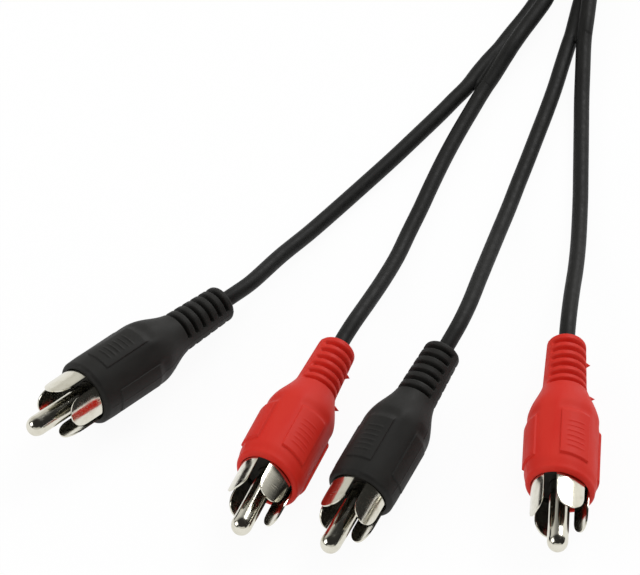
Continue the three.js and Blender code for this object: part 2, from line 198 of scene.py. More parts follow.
def sweep(name, path, turn, section):
    tangent = unit(np.gradient(path, axis=0))
    rings = ringsAlong(path, tangent, acrossPath(tangent, turn), section)
    rows, columns = rings.shape[:2]
    around = np.arange(columns) / columns
    uvs = np.stack(np.broadcast_arrays(runAlong(path)[:, None], around[None]), -1).reshape(-1, 2)
    faces = gridFaces(rows, columns) + endFaces(rows, columns)
    return addMesh(name, rings.reshape(-1, 3), faces, uvs)


# Where the plugs lie, as in the part: rim, heading, dip of the nose, roll of the top panel, and
# turn of the contacts in the housing

plugPlaces = {
    "black_a": {"rim": (-34.73, 3.08, 6.84), "heading": -135.3, "dip": -4.3, "roll": -4, "turn": -21.5},
    "red_a": {"rim": (-7.17, -13.15, 6.21), "heading": -111.7, "dip": -2.6, "roll": 36.3, "turn": 3.5},
    "black_b": {"rim": (6.68, -15.5, 5.69), "heading": -116.2, "dip": 4.6, "roll": -17.3, "turn": -21.5},
    "red_b": {"rim": (36.51, -15.04, 5.91), "heading": -93.6, "dip": 0, "roll": 20.6, "turn": 3.5},
}
plugBack = -29.4  # end of the strain relief, behind the rim


def plugMatrix(place):
    turn = Euler([math.radians(a) for a in (-place["roll"], place["dip"], place["heading"])], "XYZ")
    return Matrix.Translation(Vector(place["rim"]) * mm) @ turn.to_matrix().to_4x4()


def alongPlug(place, x):  # a point on the plug's axis, in millimetres
    return np.array(plugMatrix(place) @ Vector((x * mm, 0, 0))) / mm


# Cords

cord = {
    "leadDiameter": 2.5,
    "leadSpacing": 2.8,
    "webHalf": 0.42,  # half the thickness of the web that joins the two leads
    "webReach": 0.17,
    "webSwell": 1.06,
    "lobeArc": 148.0,  # degrees each way, where a lead is free of the web
    "lobeSides": 20,
    "exitPoints": (1.2, -0.3, -2.0),  # straight out of the relief, from inside it
    "hiddenSteps": (0, 2, 4),  # a lead runs on inside the twin cord, so that no step shows
    "slip": 0.012,  # it is this much thinner than the cord it runs into
    "taper": 0.12,  # and it thins further inside it
    "endDip": 0.05,  # so much the twin cord's own end is sunk
    "endDipLength": 3.5,
    "onEdge": 80.0,  # turned up further than this, the cord may leave the table
    "leadSides": 28,
    "leadStep": 0.6,
    "twinStep": 1.25,
}
# Each point of a lead, from its plug to the split
leadRoutes = {
    "black_a": [
        (-9.9, 28, 3.95), (-5.2, 34.8, 2.7), (-0.7, 40.6, 1.7), (3.6, 46, 1.3), (7.9, 51.2, 1.25),
        (12.1, 56.3, 1.25), (16.2, 61.5, 1.25), (20, 66.4, 1.25), (22.2, 69.4, 1.25),
        (24.15, 71.94, 1.25),
    ],
    "red_a": [
        (6, 19.4, 4.6), (8.2, 24.3, 3.7), (10.6, 29.9, 2.6), (12.8, 35.5, 1.7), (14.7, 41, 1.3),
        (16.6, 46.1, 1.25), (18.4, 51.2, 1.25), (20.3, 56.3, 1.25), (22.4, 61.4, 1.3),
        (24.7, 66.5, 1.4), (26.55, 70.54, 1.55),
    ],
    "black_b": [
        (22, 15.9, 8.25), (23.6, 20.6, 7.6), (25.2, 26.7, 6.2), (26.9, 33.3, 4.4), (28.6, 39.7, 2.8),
        (30.3, 45.7, 1.7), (31.9, 51.2, 1.3), (33.5, 56.3, 1.25), (35.1, 61.5, 1.25),
        (36.7, 66.7, 1.25), (38.2, 71.9, 1.25), (39.5, 77, 1.25), (40.66, 81.3, 1.25),
    ],
    "red_b": [
        (38.9, 20.4, 5.7), (39.5, 25.5, 4.8), (40.3, 31.6, 3.5), (40.9, 37.7, 2.2), (41.3, 43.4, 1.5),
        (41.6, 48.7, 1.25), (41.8, 53.8, 1.25), (42, 58.9, 1.25), (42.2, 64.1, 1.25),
        (42.4, 69.3, 1.4), (42.7, 74.8, 2), (43.04, 80.9, 2.65),
    ],
}
# Each point of the twin cord, and how far its pair is turned up from flat, in degrees
twinRoutes = {
    "a": [
        (25.5, 71.5, 1.8, 6), (27.1, 74.3, 1.8, 13), (28.5, 76.7, 1.8, 22), (30.5, 79.9, 2.1, 38),
        (32.5, 83.4, 2.2, 42), (34.6, 86.9, 2.25, 45), (36.5, 90.5, 2.25, 46), (37.7, 94.4, 2.35, 52),
        (37.5, 98.8, 2.4, 62), (35.4, 102.9, 2.45, 72), (31.6, 106.3, 2.55, 82),
        (26.6, 108.4, 2.65, 90),
    ],
    "b": [
        (41.9, 81.4, 1.95, 30), (42.4, 83.9, 2.2, 42), (42.9, 86.8, 2.3, 49), (43.5, 90.3, 2.4, 56),
        (44.6, 95, 2.5, 63), (46, 100, 2.55, 70), (47.6, 105, 2.7, 77), (49.3, 110, 3.2, 82),
        (51, 115, 4.3, 87), (52, 118, 5.1, 90),
    ],
}
coil = {
    "centre": (28.0, 143.0),
    "outerTurn": 31.78,  # radius of the outermost turn's middle
    "turnPitch": 2.6,
    "turnsPerLayer": 3.85,
    "layerPitch": 5.38,
    "entry": 240.0,  # degrees round from +X, where end A joins
    "entryVia": (20.4, 111.3),
    "pointsPerTurn": 24,
    "climb": 0.09,  # half the climb between the layers, in turns
    "clearance": 0.06,
    "tieAngle": 100.0,
    "tieLift": 0.75,  # the tie passes under the turns there
    "tieReach": (8.0, 55.0),  # degrees between which they come down again
}


def onTable(turn):  # height of the twin cord's middle where it lies on the table
    return cord["leadDiameter"] / 2 + cord["leadSpacing"] / 2 * math.sin(math.radians(turn))


def coilPoint(turns):
    c = coil
    total = 2 * c["turnsPerLayer"]
    angle = c["entry"] - 360 * turns
    radius = c["outerTurn"] - c["turnPitch"] * min(turns, total - turns)
    away = abs((angle - c["tieAngle"] + 180) % 360 - 180)
    lift = c["tieLift"] * (1 - float(smoothStep(*c["tieReach"], away)))
    level = float(smoothStep(-c["climb"], c["climb"], turns - c["turnsPerLayer"]))
    z = onTable(90) + c["clearance"] + lift + level * c["layerPitch"]
    a = math.radians(angle)
    return (c["centre"][0] + radius * math.cos(a), c["centre"][1] + radius * math.sin(a), z)


def twinSection(dip):  # two round leads side by side with a thin web between them
    r, half, web = cord["leadDiameter"] / 2 - dip, cord["leadSpacing"] / 2, cord["webHalf"] - dip
    sweepAngles = np.radians(np.linspace(-cord["lobeArc"], cord["lobeArc"], cord["lobeSides"]))
    arc = [(half + r * math.cos(a), r * math.sin(a)) for a in sweepAngles]
    swell = web * cord["webSwell"]
    right = arc + [(cord["webReach"], swell), (0, web), (-cord["webReach"], swell)]
    return right + [(-x, -y) for x, y in right]


def twinPath():
    points, turns = [], []
    for x, y, _, turn in twinRoutes["a"]:
        points.append((x, y, onTable(turn)))
        turns.append(turn)
    points.append((*coil["entryVia"], onTable(90) + coil["clearance"]))
    steps = round(2 * coil["turnsPerLayer"] * coil["pointsPerTurn"])
    points += [coilPoint(2 * coil["turnsPerLayer"] * k / steps) for k in range(steps + 1)]
    turns += [90] * (len(points) - len(turns))
    for x, y, z, turn in reversed(twinRoutes["b"]):
        points.append((x, y, max(z, onTable(turn)) if turn > cord["onEdge"] else onTable(turn)))
        turns.append(180 - turn)
    return smoothRoute(points, turns, cord["twinStep"])


def lobePoints(twin, turn, end, lobe):  # middle of one lead of the twin cord, from its end inwards
    order = [k if end == "a" else -1 - k for k in cord["hiddenSteps"]]
    tangent = unit(np.gradient(twin, axis=0))[order]
    return twin[order] + lobe * cord["leadSpacing"] / 2 * acrossPath(tangent, turn[order])


def leadPath(name, twin, turn):
    exits = [alongPlug(plugPlaces[name], plugBack + d) for d in cord["exitPoints"]]
    inside = lobePoints(twin, turn, name[-1], 1 if name.startswith("red") else -1)
    points = exits + leadRoutes[name][:-1] + list(inside)
    path, turns, length = smoothRoute(points, [0] * len(points), cord["leadStep"])
    hidden = np.linalg.norm(np.diff(inside, axis=0), axis=1).sum()
    return path, turns, length, length - hidden


def makeCords():
    r = cord["leadDiameter"] / 2 - cord["slip"]
    angles = np.arange(cord["leadSides"]) * 2 * math.pi / cord["leadSides"]
    ring = np.column_stack([np.cos(angles), np.sin(angles)])
    pieces, single = {}, 0
    twin, twinTurn, twinLong = twinPath()
    for name, place in plugPlaces.items():
        path, turn, length, shown = leadPath(name, twin, twinTurn)
        inner = smoothStep(shown, length, np.linspace(0, length, len(path)))
        obj = sweep(name + "_lead_cord", path, turn, ring * (r - cord["taper"] * inner)[:, None, None])
        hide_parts(name + "_lead")
        pieces[obj.name] = obj
        single += shown / len(plugPlaces)
    run = np.linspace(0, twinLong, len(twin))
    dip = cord["endDip"] * (1 - smoothStep(0, cord["endDipLength"], np.minimum(run, twinLong - run)))
    obj = sweep("twin_cord", twin, twinTurn, [twinSection(d) for d in dip])
    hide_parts("twin_cord_a", "twin_cord_b", "cord_coil")
    print("twin cord", round(twinLong), "mm, whole lead", round(twinLong + 2 * single), "mm")
    pieces["twin_cord"] = obj
    return pieces, twin, twinLong


cordPieces, twinLine, twinLength = makeCords()
for obj in cordPieces.values():
    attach(obj, "root")
print("cords made")


# Twist tie round the coil

tie = {
    "width": 4.0,
    "thickness": 0.28,
    "wireRadius": 0.42,
    "wireReach": 1.3,  # the flat part ends so many wire radii from the middle
    "wireBulge": (0.6, 0.7),  # shares of half the thickness and of the wire's radius
    "edgeRound": (0.06, 0.02),
    "low": 0.16,  # height of the strip's middle under the coil
    "high": 12.05,
    "joinHeight": 6.0,
    "inner": 20.15,  # radius from the coil's middle
    "outer": 33.5,
    "corner": 2.4,
    "step": 0.8,
    "tailRoot": (4.2, 0.5),  # outwards from the inner side, and up from the top
    "tailHeading": (-0.55, 0.85),  # outwards, and along the coil
    "tailLength": 13.0,
    "tailWidth": 0.72,  # as a share of the width
    "tailTurns": 1.6,
    "tailTwist": 6.5,  # length of the twisted stretch
    "tailSpread": 24.0,  # degrees between the free ends
    "tailApart": 0.3,
    "tailLift": 1.15,
    "tailSag": 0.0035,
    "tailSteps": 40,
}


def tieSection(s, share=1.0):
    half, t, wire = s["width"] * share / 2, s["thickness"] / 2, s["wireRadius"]
    inset, swell = s["edgeRound"]
    flat, bulge = s["wireBulge"]
    side = [(-half, -t), (-half + inset, -t - swell), (-wire * s["wireReach"], -t)]
    bump = [(wire * math.cos(a), -t * flat - wire * math.sin(a) * bulge)
            for a in np.radians((150, 120, 90, 60, 30))]
    low = side + bump + [(-x, y) for x, y in reversed(side)]
    return low + [(-x, -y) for x, y in low]


def sweepFree(points, across, section, closed):  # like sweep, with its first axis given
    p = np.asarray(points, float)
    if closed:
        tangent = unit(np.roll(p, -1, axis=0) - np.roll(p, 1, axis=0))
    else:
        tangent = unit(np.gradient(p, axis=0))
    rings = ringsAlong(p, tangent, np.asarray(across, float), section)
    rows, columns = rings.shape[:2]
    faces = gridFaces(rows, columns, True, closed)
    if not closed:
        faces += endFaces(rows, columns)
    return rings.reshape(-1, 3), faces


def tieTail(s, root, heading, sign):
    up = np.array((0, 0, 1))
    sideways = np.cross(up, heading)
    spread = math.tan(math.radians(s["tailSpread"] / 2))
    line, across = [], []
    for d in np.linspace(0, s["tailLength"], s["tailSteps"]):
        twist = 2 * math.pi * s["tailTurns"] * min(d, s["tailTwist"]) / s["tailTwist"]
        bend = spread * max(0.0, d - s["tailTwist"])
        spin = math.cos(twist) * sideways + math.sin(twist) * up
        off = np.cross(heading, spin) * s["tailApart"] * sign
        sag = up * (s["tailLift"] - s["tailSag"] * d * d)
        line.append(root + heading * d + off + sideways * bend * sign + sag)
        across.append(spin)
    return sweepFree(line, across, tieSection(s, s["tailWidth"]), False)


def makeTie(s):
    a = math.radians(coil["tieAngle"])
    outward = np.array((math.cos(a), math.sin(a), 0))
    alongCoil = np.array((-math.sin(a), math.cos(a), 0))
    centre = np.array((*coil["centre"], 0.0))
    join = (s["inner"], s["joinHeight"])
    corners = [(r, z) for z in (s["low"], s["high"]) for r in (s["inner"], s["outer"])]
    loop = rounded([join, corners[0], corners[1], corners[3], corners[2], join], s["corner"], 8)[:-1]
    fine = []
    for (r1, z1), (r2, z2) in zip(loop, loop[1:] + loop[:1]):
        count = max(1, round(math.hypot(r2 - r1, z2 - z1) / s["step"]))
        fine += [(r1 + (r2 - r1) * k / count, z1 + (z2 - z1) * k / count) for k in range(count)]
    middle = [centre + r * outward + np.array((0, 0, z)) for r, z in fine]
    parts = [sweepFree(middle, [alongCoil] * len(middle), tieSection(s), True)]
    rootOut, rootUp = s["tailRoot"]
    root = centre + (s["inner"] + rootOut) * outward + np.array((0, 0, s["high"] + rootUp))
    headingOut, headingAlong = s["tailHeading"]
    heading = unit(outward * headingOut + alongCoil * headingAlong)
    parts += [tieTail(s, root, heading, sign) for sign in (1, -1)]
    return addMesh("twist_tie", *joined(parts))


twistTie = makeTie(tie)
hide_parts("coil_tie")
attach(twistTie, "root")
print("tie made")


# Housings

housing = {
    "rimRadius": 5.25, "rimRound": 0.72, "noseLength": 2.4, "shoulderLength": 7.8,
    "reliefRoot": 3.2, "reliefEnd": 2.85, "endRound": 0.6, "endLip": 0.1,
    "boreRadius": 4.43, "mouldBore": 4.05, "cordBore": 1.3, "boreRound": 0.08,
    "mouldFront": 10.1, "mouldTaper": 13.5, "mouldBack": 18.1, "mouldTail": 2.9,
    "cordSeat": 4.0, "seatEase": 0.25,  # the cord's bore is tight at the end, then opens
    "panelFront": 3.05, "panelBack": 10.95, "panelFade": 0.9, "panelLip": 0.08,
    "panelSpan": 47.0, "panelEdge": 0.15, "panelBlend": 0.05, "panelSink": 0.02,
    "gapDip": 0.12, "gapFrom": (2.4, 8.7), "gapTo": (-0.7, 3.6),  # behind the rim, and the body's end
    "hollow": 0.16, "hollowEnd": 13.9, "hollowFront": (0.5, 1.3, 1.4),  # behind each panel
    "hollowEdge": (-0.9, 0.5),
    "ribs": 6, "ribPitch": 0.92, "ribFirst": 4.6, "ribWidth": 0.3, "ribRise": 0.06,
    "ribFlat": 0.35, "ribSpan": 26.0, "ribFade": 1.2,
    "grooves": 6, "groovePitch": 1.62, "groovePlace": 1.85, "grooveDepth": 0.72,
    "grooveFloor": 0.11, "grooveHalf": 0.52, "grooveSpan": 144.0, "grooveRunOut": 16.0,
    "seamRise": 0.04, "seamWidth": (0.2, 1.6), "seamFrom": (0.6, 1.6),
    "nibAngle": 72.4, "nibPoint": 1.15,
    "slantAngle": 69.5,  # from the top panel's middle, where a slanted rim reaches furthest forward
    "sides": 150, "leastTurn": 0.18, "edgeTurn": 1.8, "nibTurn": 6.0,  # degrees
    "evenFrom": 0.9, "step": 0.36, "leastStep": 0.02, "edgeHalf": 0.14,
}
moulds = {
    "black": {
        "bodyRadius": 5.3, "bodyLength": 12.1, "panelRise": 0.2, "rimSlant": 0.0, "nibs": (),
        "endTrim": 0.3, "grooveSpan": 148.0, "grooveRunOut": 7.0, "groovePlace": 1.4,
        "groovePitch": 1.66, "grooveDepth": 0.9, "grooveHalf": 0.44, "grooveFloor": 0.12,
    },
    "red": {
        "bodyRadius": 5.5, "bodyLength": 12.8, "panelRise": 0.35, "rimSlant": 1.6,
        "reliefRoot": 3.32, "reliefEnd": 2.97, "endTrim": 0.5, "groovePlace": 1.6, "grooveDepth": 0.64,
        "nibs": ((25.1, 0.62, 0.42), (18.5, 0.95, 0.5)),  # behind the rim, rise and half width
    },
}


def housingStations(h):  # distances behind the rim, close together where the form is fine
    back = -plugBack - h["endTrim"]
    arc = np.radians(np.linspace(0, 90, 9))
    spots = [h["rimRound"] * (1 - np.cos(arc)), np.arange(h["evenFrom"], back, h["step"])]
    for edge in ("panelFront", "panelBack"):
        spots.append(h[edge] + np.linspace(-h["edgeHalf"], h["edgeHalf"], 9))
    for k in range(h["ribs"]):
        spots.append(h["ribFirst"] + k * h["ribPitch"] + np.linspace(-0.5, 0.5, 9) * h["ribWidth"])
    for k in range(h["grooves"]):
        middle = back - h["groovePlace"] - k * h["groovePitch"]
        spots.append(middle + np.linspace(-1.05, 1.05, 13) * h["grooveHalf"])
    for place, _, half in h["nibs"]:
        spots.append(place + np.linspace(-1, 1, 7) * half)
    spots.append(back - h["endRound"] * (1 - np.sin(arc)))
    s = np.unique(np.round(np.concatenate(spots), 4))
    s = s[(s >= 0) & (s <= back)]
    keep = np.concatenate([[True], np.diff(s) > h["leastStep"]])
    keep[-1] = True
    return s[keep]


def housingAngles(h):  # degrees from the top panel's middle, close together at each edge
    angles = [np.arange(h["sides"]) * 360 / h["sides"]]
    runOut = np.linspace(-1, h["grooveRunOut"], 8)
    for side in (-1, 1):
        for middle in (0, 90, 180, 270):
            edge = middle + side * h["panelSpan"] / 2
            angles.append(edge + np.linspace(-h["edgeTurn"], h["edgeTurn"], 9))
        for middle in (0, 180):
            angles.append(middle + side * h["grooveSpan"] / 2 - side * runOut)
    for place in (90, 270, h["nibAngle"]):
        angles.append(place + np.linspace(-h["nibTurn"], h["nibTurn"], 13))
    a = np.unique(np.round(np.mod(np.concatenate(angles), 360), 3))
    return a[np.concatenate([[True], np.diff(a) > h["leastTurn"]])]


def housingBase(h, s):  # the turned form under the panels, ribs and grooves
    back = -plugBack - h["endTrim"]
    neck = h["bodyLength"] + h["shoulderLength"]
    rimArc = np.clip(1 - s / h["rimRound"], 0, 1)
    rim = h["rimRadius"] - h["rimRound"] * (1 - np.sqrt(1 - rimArc ** 2))
    nose = rim + (h["bodyRadius"] - h["rimRadius"]) * smoothStep(h["rimRound"], h["noseLength"], s)
    base = nose + (h["reliefRoot"] - h["bodyRadius"]) * smoothStep(h["bodyLength"], neck, s)
    taper = np.clip((s - neck) / (back - neck), 0, 1)
    base = base + (h["reliefEnd"] - h["reliefRoot"]) * taper
    end = np.clip((s - (back - h["endRound"])) / h["endRound"], 0, 1)
    return base - h["endRound"] * (1 - np.sqrt(1 - end ** 2))


def addPanels(h, s, a):
    base = housingBase(h, s)
    fromPanel = np.abs((a + 45) % 90 - 45)
    edge = (h["panelSpan"] / 2 - fromPanel) * math.pi / 180 * h["bodyRadius"]
    inside = smoothStep(-h["panelEdge"] / 2, h["panelEdge"] / 2, edge)
    lip = smoothStep(h["panelFront"] - h["panelLip"], h["panelFront"] + h["panelLip"], s)
    drop = 0.5 * (np.clip(s - h["panelBack"], 0, None) / h["panelFade"]) ** 2
    rise = h["bodyRadius"] + h["panelRise"] - drop - base
    rise = 0.5 * (rise + np.sqrt(rise ** 2 + h["panelBlend"] ** 2)) - h["panelSink"]
    skin = base + np.clip(rise, 0, None) * inside * lip
    start, full, fade = (h["panelBack"] + d for d in h["hollowFront"])
    behind = smoothStep(start, full, s) * (1 - smoothStep(fade, h["hollowEnd"], s))
    skin = skin - h["hollow"] * behind * smoothStep(*h["hollowEdge"], edge)
    start, gone = (h["bodyLength"] + d for d in h["gapTo"])
    dip = h["gapDip"] * smoothStep(*h["gapFrom"], s) * (1 - smoothStep(start, gone, s))
    across = np.clip((fromPanel - h["panelSpan"] / 2) / (45 - h["panelSpan"] / 2), 0, 1)
    return skin - dip * np.sin(across * math.pi / 2) ** 2


def housingSkin(h, s, a):
    skin = addPanels(h, s, a)
    fromTop = np.minimum(np.abs((a + 180) % 360 - 180), np.abs(a - 180))
    ribEnd = h["ribSpan"] / 2
    reach = 1 - smoothStep(ribEnd - h["ribFade"], ribEnd + h["ribFade"], fromTop)
    for k in range(h["ribs"]):
        u = np.abs(s - h["ribFirst"] - k * h["ribPitch"]) / (h["ribWidth"] / 2)
        skin = skin + h["ribRise"] * (1 - smoothStep(h["ribFlat"], 1, u)) * reach

    cut = 1 - smoothStep(h["grooveSpan"] / 2 - h["grooveRunOut"], h["grooveSpan"] / 2, fromTop)
    back = -plugBack - h["endTrim"]
    for k in range(h["grooves"]):
        u = np.abs(s - (back - h["groovePlace"] - k * h["groovePitch"]))
        skin = skin - h["grooveDepth"] * (1 - smoothStep(h["grooveFloor"], h["grooveHalf"], u)) * cut

    seam = np.minimum(np.abs(a - 90), np.abs(a - 270))
    rise = h["seamRise"] * (1 - smoothStep(*h["seamWidth"], seam)) * smoothStep(*h["seamFrom"], s)
    skin = skin + rise
    for place, height, half in h["nibs"]:
        u = np.hypot(s - place, np.radians(a - h["nibAngle"]) * skin) / half
        skin = skin + height * np.clip(1 - u, 0, 1) ** h["nibPoint"]
    return skin


def makeHousing(name, h):
    s, a = housingStations(h), housingAngles(h)
    skin = housingSkin(h, s[:, None], a[None, :])
    back = plugBack + h["endTrim"]
    tail, front = -h["mouldBack"], -h["mouldFront"]
    inside = np.asarray(rounded([
        (back, h["reliefEnd"] - h["endRound"] - h["endLip"]), (back, h["cordBore"]),
        (back + h["cordSeat"], h["cordBore"]), (tail, h["cordBore"] + h["seatEase"]),
        (tail, h["mouldTail"]), (-h["mouldTaper"], h["mouldBore"]), (front, h["mouldBore"]),
        (front, h["boreRadius"]), (0, h["boreRadius"]), (0, h["rimRadius"] - h["rimRound"]),
    ], h["boreRound"], 3))
    x = np.concatenate([-s, inside[:, 0]])[:, None] + 0 * a
    r = np.concatenate([skin, inside[:, 1:] + 0 * a])
    angle = np.radians(a)
    forward = (1 - smoothStep(h["panelFront"], h["panelBack"], -x)) * h["rimSlant"] / (2 * h["rimRadius"])
    x = x + forward * r * np.cos(angle - math.radians(h["slantAngle"]))
    grid = np.stack([x, r * np.sin(angle), r * np.cos(angle)], -1)
    return addMesh(name + "_moulding", grid.reshape(-1, 3), gridFaces(len(grid), len(a), True, True))


# Ground sleeves

sleeve = {
    "outer": 4.4, "sheet": 0.26, "bevel": 0.07, "bevelSegments": 3,
    "sharp": 40.0, "petalHalf": 31.6,  # degrees
    "petalReach": 5.85, "tipLength": 2.75, "slotBack": -1.4, "bandBack": -6.2,
    "lugBack": -9.8, "lugHalf": 15.8, "lugGap": 0.02,
    "petalCurve": 6.6, "flatFrom": 1.2,  # the petals are flatter than the band
    "petalColumns": 22, "slotColumns": 6,
}


def onSleeve(s, x, degrees):
    a = np.radians(degrees)
    return np.stack(np.broadcast_arrays(x + 0 * a, s["outer"] * np.sin(a), s["outer"] * np.cos(a)), -1)


def onPetal(s, x, middle, degrees):  # like onSleeve, but flattened ahead of the slots' ends
    off = np.radians(degrees)
    edge = math.radians(s["petalHalf"])
    aside = s["outer"] * np.sin(off)
    chord = math.sqrt(s["petalCurve"] ** 2 - (s["outer"] * math.sin(edge)) ** 2)
    flat = np.sqrt(s["petalCurve"] ** 2 - aside ** 2) - chord
    share = smoothStep(s["slotBack"], s["flatFrom"], x)
    up = s["outer"] * ((1 - share) * np.cos(off) + share * math.cos(edge)) + share * flat
    turn = math.radians(middle)
    y = up * math.sin(turn) + aside * math.cos(turn)
    z = up * math.cos(turn) - aside * math.sin(turn)
    return np.stack(np.broadcast_arrays(x + 0 * off, y, z), -1)


def makeSleeve(name, s):
    parts = []

    def add(grid, closed=False):
        parts.append((grid.reshape(-1, 3), gridFaces(*grid.shape[:2], closed)))

    half = s["petalHalf"]
    straight = np.linspace(s["slotBack"], s["petalReach"] - s["tipLength"], 16)
    t = np.radians(np.linspace(0, 90, 15))[1:]
    x = np.concatenate([straight, s["petalReach"] - s["tipLength"] * (1 - np.sin(t))])
    width = half * np.concatenate([np.ones(len(straight)), np.cos(t)])
    across = np.linspace(-1, 1, s["petalColumns"] + 1)
    band = []
    for k in range(4):
        add(onPetal(s, x[:, None], 90 * k, width[:, None] * across[None]))
        band.append(90 * k + half * across)
        band.append(90 * k + half + (90 - 2 * half) * np.arange(1, s["slotColumns"]) / s["slotColumns"])
    ring = np.concatenate(band)
    add(onSleeve(s, np.linspace(s["slotBack"], s["bandBack"], 8)[:, None], ring[None]), True)
    lug = 180 + s["lugHalf"] * np.linspace(-1, 1, 9)
    add(onSleeve(s, np.linspace(s["bandBack"] + s["lugGap"], s["lugBack"], 6)[:, None], lug[None]))
    obj = addMesh(name + "_petal_sleeve", *joined(parts))
    thick = obj.modifiers.new("sheet", "SOLIDIFY")
    thick.thickness = s["sheet"] * mm
    thick.offset = -1
    edge = obj.modifiers.new("edge", "BEVEL")
    edge.width = s["bevel"] * mm
    edge.segments = s["bevelSegments"]
    edge.angle_limit = math.radians(s["sharp"])
    obj.data.set_sharp_from_angle(angle=math.radians(s["sharp"]))
    return obj


# Bushes and pins

bush = {
    "front": -1.2, "back": -7.5, "outer": 4.03, "bore": 1.6, "edge": 0.3,
    "mouth": (0.4, 0.05),  # depth and width of the bore's eased mouth
    "round": 0.12, "sides": 72,
}
pin = {
    "radius": 1.6, "reach": 11.1, "nose": 1.7, "back": -8.8, "cupRadius": 0.6, "cupDepth": 2.4,
    "blunt": 0.28, "fullness": 0.92, "round": 0.15, "tail": 0.4, "sides": 64,
    "rings": (0.3, 1.5, 4, 8, 12),  # behind the nose
}


def makeBush(name, b):
    depth, ease = b["mouth"]
    profile = rounded([
        (b["back"], b["bore"]), (b["back"], b["outer"]), (b["front"] - b["edge"], b["outer"]),
        (b["front"], b["outer"] - b["edge"]), (b["front"], b["bore"] + ease),
        (b["front"] - depth, b["bore"]),
    ], b["round"], 3)
    return turnedPiece(name + "_bush", profile, b["sides"], True)


def makePin(name, p):
    profile = [(p["reach"], 0)]
    for a in np.radians(np.linspace(90, 0, 22))[1:]:
        r = p["blunt"] + (p["radius"] - p["blunt"]) * math.cos(a) ** p["fullness"]
        profile.append((p["reach"] - p["nose"] * (1 - math.sin(a)), r))
    straight = p["reach"] - p["nose"]
    profile += [(straight - d, p["radius"]) for d in p["rings"]]
    cupEnd = p["back"] + p["cupDepth"]
    tail = rounded([
        (p["back"] + p["tail"], p["radius"]), (p["back"], p["radius"]), (p["back"], p["cupRadius"]),
        (cupEnd, p["cupRadius"]), (cupEnd, 0),
    ], p["round"], 3)
    return turnedPiece(name + "_pin", profile + tail, p["sides"])


plugPieces = {}
for name, place in plugPlaces.items():
    colour = name.split("_")[0]
    made = {
        "housing": (makeHousing(name, {**housing, **moulds[colour]}), colour + "_pvc"),
        "ground_sleeve": (makeSleeve(name, sleeve), "nickel_plate"),
        "insulator": (makeBush(name, bush), "black_bush"),
        "centre_pin": (makePin(name, pin), "nickel_plate"),
    }
    for node, (obj, slotName) in made.items():
        spin = 0 if node == "housing" else -math.radians(place["turn"])
        obj.matrix_world = plugMatrix(place) @ Matrix.Rotation(spin, 4, "X")
        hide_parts(f"{name}_{node}")
        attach(obj, "root")
        plugPieces[obj.name] = (obj, slotName)
print("plugs made")


# Materials: effects that several finishes share are node groups

groupOutputs = {"Colour": "colour", "Roughness": "float", "Normal": "vector"}


def startGroup(name, inputs):
    tree = bpy.data.node_groups.new(name, "ShaderNodeTree")
    kinds = {"float": "NodeSocketFloat", "colour": "NodeSocketColor", "vector": "NodeSocketVector"}
    for label, kind, value in inputs:
        socket = tree.interface.new_socket(name=label, in_out="INPUT", socket_type=kinds[kind])
        if value is not None:
            socket.default_value = value
    for label, kind in groupOutputs.items():
        tree.interface.new_socket(name=label, in_out="OUTPUT", socket_type=kinds[kind])
    return tree, tree.nodes.new("NodeGroupInput").outputs


def feed(tree, value, socket):
    if isinstance(value, bpy.types.NodeSocket):
        tree.links.new(value, socket)
    else:
        socket.default_value = value


def addNode(tree, kind, settings=None, **inputs):  # i0 is the first input
    node = tree.nodes.new("ShaderNode" + kind)
    for key, value in (settings or {}).items():
        setattr(node, key, value)
    for key, value in inputs.items():
        byNumber = key[0] == "i" and key[1:].isdigit()
        feed(tree, value, node.inputs[int(key[1:]) if byNumber else key])
    return node


def noiseNode(tree, vector, scale, detail, roughness):
    node = addNode(tree, "TexNoise", Vector=vector, Scale=scale, Detail=detail, Roughness=roughness)
    return node.outputs["Fac"]


def remap(tree, value, low, high, toLow, toHigh):
    node = addNode(tree, "MapRange", {"interpolation_type": "SMOOTHSTEP"}, Value=value)
    for key, number in (("From Min", low), ("From Max", high), ("To Min", toLow), ("To Max", toHigh)):
        feed(tree, number, node.inputs[key])
    return node.outputs["Result"]


def mixColour(tree, factor, first, second):
    node = addNode(tree, "Mix", {"data_type": "RGBA"})
    for k, value in ((0, factor), (6, first), (7, second)):
        feed(tree, value, node.inputs[k])
    return node.outputs[2]


def maths(tree, operation, first, second):
    return addNode(tree, "Math", {"operation": operation}, i0=first, i1=second).outputs[0]


def endGroup(tree, colour, roughness, height, depth, distance):
    bump = addNode(tree, "Bump", Height=height, Strength=depth, Distance=distance)
    out = tree.nodes.new("NodeGroupOutput")
    for key, value in zip(groupOutputs, (colour, roughness, bump.outputs[0])):
        tree.links.new(value, out.inputs[key])
    return tree


# A noise: scale, detail, roughness; a range: from, to, and what it gives there

mouldedLook = {
    "grain": (2.0, 0.6),
    "pits": (2600.0, 3.0, 0.65),
    "flowStretch": (0.35, 1.0, 1.0),
    "flow": (420.0, 4.0, 0.55),
    "edges": (0.515, 0.57, 0.0, 1.0),  # of pointiness
    "rubbed": (0.35, 0.65, 0.45, 1.0),
    "tint": (0.3, 0.7, 0.0, 0.22),
    "gloss": (0.25, 0.75),
    "grainGloss": 0.12,
    "pitDepth": 0.8,
    "bump": 0.00004,  # metres
}


